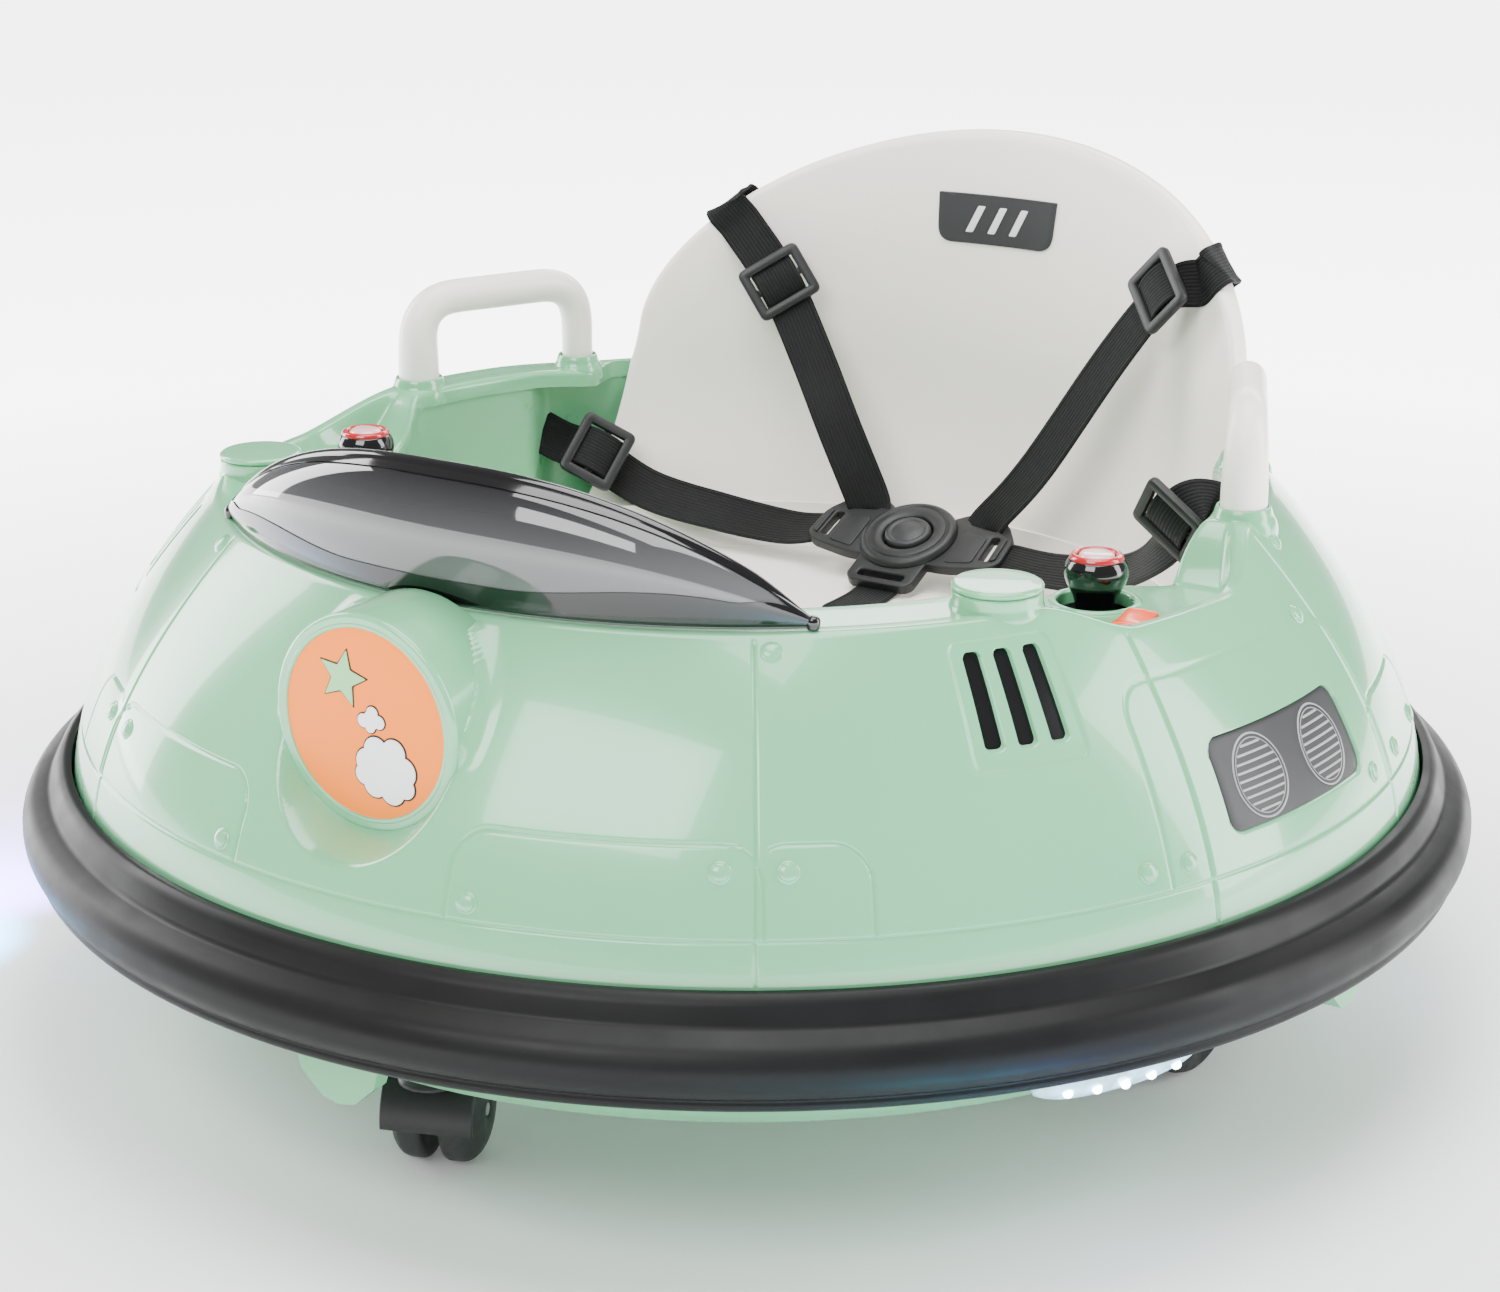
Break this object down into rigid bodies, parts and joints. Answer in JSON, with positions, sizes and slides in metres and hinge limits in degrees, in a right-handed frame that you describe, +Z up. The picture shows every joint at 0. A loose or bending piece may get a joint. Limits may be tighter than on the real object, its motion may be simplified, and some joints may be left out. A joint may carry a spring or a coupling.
{
  "type": "kiddie ride bumper car",
  "caption": "Round battery-driven bumper car for a small child, with a domed shell, harness seat, joysticks, grab handles, soft bumper and caster undercarriage.",
  "frame": {"origin": "on the floor, under the centre of the bumper ring", "axes": "+Z up, the front badge faces -Y, the rocker switch is on the +X side"},
  "size_m": [0.7299, 0.73, 0.404],
  "materials": {
    "mint_shell": "gloss",
    "bumper_black": "satin",
    "smoke_screen": "gloss",
    "gloss_black": "gloss",
    "orange_print": "satin",
    "orange_plastic": "gloss",
    "black_plastic": "satin",
    "caster_tread": "satin",
    "dark_grey_plastic": "satin",
    "red_plastic": "gloss",
    "pale_plastic": "gloss",
    "cream_plastic": "satin",
    "webbing": "woven",
    "circuit_green": "satin",
    "clear_lens": "gloss",
    "steel": "brushed",
    "gear_nylon": "satin",
    "drive_tyre": "satin"
  },
  "bodies": {
    "car": {"lower_chassis": "mint_shell", "cockpit_tub": "mint_shell", "upper_body": "mint_shell", "bumper_ring": "bumper_black", "windshield": "smoke_screen", "windshield_trim": "gloss_black", "badge_face": "orange_print", "badge_ring": "mint_shell", "cap_lids": "mint_shell", "vent_inserts": "black_plastic", "lamp_panels": "dark_grey_plastic", "lamp_grilles": "dark_grey_plastic", "speakers": "black_plastic", "stick_bases": "black_plastic", "rocker_bezel": "black_plastic", "seat_shell": "cream_plastic", "seat_label": "dark_grey_plastic", "shoulder_straps": "webbing", "waist_straps": "webbing", "crotch_strap": "webbing", "strap_adjusters": "black_plastic", "buckle_hub": "black_plastic", "carry_handles": "cream_plastic", "battery": "dark_grey_plastic", "control_board": "circuit_green", "charging_inlet": "black_plastic", "led_housings": "mint_shell", "led_lenses": "clear_lens", "led_boards": "circuit_green", "gearbox_shells": "black_plastic", "drive_motors": "steel", "chassis_screws": "steel"},
    "left_stick": {"left_stick": "gloss_black", "left_stick_ring": "red_plastic"},
    "left_stick_button": {"left_stick_button": "pale_plastic"},
    "right_stick": {"right_stick": "gloss_black", "right_stick_ring": "red_plastic"},
    "right_stick_button": {"right_stick_button": "pale_plastic"},
    "rocker": {"rocker": "orange_plastic"},
    "buckle_button": {"buckle_button": "black_plastic"},
    "front_caster": {"front_caster_hood": "black_plastic", "front_caster_stem": "steel"},
    "front_caster_wheels": {"front_caster_wheels": "caster_tread", "front_caster_axle": "steel"},
    "rear_caster": {"rear_caster_hood": "black_plastic", "rear_caster_stem": "steel"},
    "rear_caster_wheels": {"rear_caster_wheels": "caster_tread", "rear_caster_axle": "steel"},
    "left_drive_wheel": {"left_gear": "gear_nylon", "left_axle": "steel", "left_hub": "black_plastic", "left_tyre": "drive_tyre"},
    "right_drive_wheel": {"right_gear": "gear_nylon", "right_axle": "steel", "right_hub": "black_plastic", "right_tyre": "drive_tyre"},
    "left_pinion": {"left_pinion": "steel"},
    "right_pinion": {"right_pinion": "steel"}
  },
  "joints": [
    {"name": "left_stick_tilt", "type": "hinge", "parent": "car", "child": "left_stick", "pos_m": [-0.213, -0.038, 0.222], "axis": [1, 0, 0], "range_deg": [-12, 12], "stiffness_Nm_per_rad": 0.3},
    {"name": "left_stick_press", "type": "slide", "parent": "left_stick", "child": "left_stick_button", "axis": [0, 0, -1], "range_m": [0, 0.002], "stiffness_N_per_m": 300},
    {"name": "right_stick_tilt", "type": "hinge", "parent": "car", "child": "right_stick", "pos_m": [0.213, -0.038, 0.222], "axis": [1, 0, 0], "range_deg": [-12, 12], "stiffness_Nm_per_rad": 0.3},
    {"name": "right_stick_press", "type": "slide", "parent": "right_stick", "child": "right_stick_button", "axis": [0, 0, -1], "range_m": [0, 0.002], "stiffness_N_per_m": 300},
    {"name": "rocker_tip", "type": "hinge", "parent": "car", "child": "rocker", "pos_m": [0.246, -0.065, 0.247], "axis": [1, 0, 0], "range_deg": [-12, 0]},
    {"name": "buckle_press", "type": "slide", "parent": "car", "child": "buckle_button", "axis": [0, 0.4067, -0.9135], "range_m": [0, 0.003], "stiffness_N_per_m": 400},
    {"name": "front_caster_swivel", "type": "hinge", "parent": "car", "child": "front_caster", "pos_m": [0, -0.268, 0.075], "axis": [0, 0, 1], "continuous": true},
    {"name": "front_caster_roll", "type": "hinge", "parent": "front_caster", "child": "front_caster_wheels", "pos_m": [-0.00616, -0.25109, 0.025], "axis": [0.9397, 0.342, 0], "continuous": true},
    {"name": "rear_caster_swivel", "type": "hinge", "parent": "car", "child": "rear_caster", "pos_m": [0, 0.268, 0.075], "axis": [0, 0, 1], "continuous": true},
    {"name": "rear_caster_roll", "type": "hinge", "parent": "rear_caster", "child": "rear_caster_wheels", "pos_m": [0.01032, 0.28275, 0.025], "axis": [0.8192, -0.5736, 0], "continuous": true},
    {"name": "left_wheel_spin", "type": "hinge", "parent": "car", "child": "left_drive_wheel", "pos_m": [-0.235, 0.022, 0.062], "axis": [1, 0, 0], "continuous": true},
    {"name": "left_pinion_spin", "type": "hinge", "parent": "car", "child": "left_pinion", "pos_m": [-0.2, 0.067, 0.062], "axis": [1, 0, 0], "continuous": true},
    {"name": "right_wheel_spin", "type": "hinge", "parent": "car", "child": "right_drive_wheel", "pos_m": [0.235, 0.022, 0.062], "axis": [1, 0, 0], "continuous": true},
    {"name": "right_pinion_spin", "type": "hinge", "parent": "car", "child": "right_pinion", "pos_m": [0.2, 0.067, 0.062], "axis": [1, 0, 0], "continuous": true}
  ],
  "couplings": [
    {"joint": "left_pinion_spin", "follows": "left_wheel_spin", "ratio": -4},
    {"joint": "right_pinion_spin", "follows": "right_wheel_spin", "ratio": -4}
  ]
}
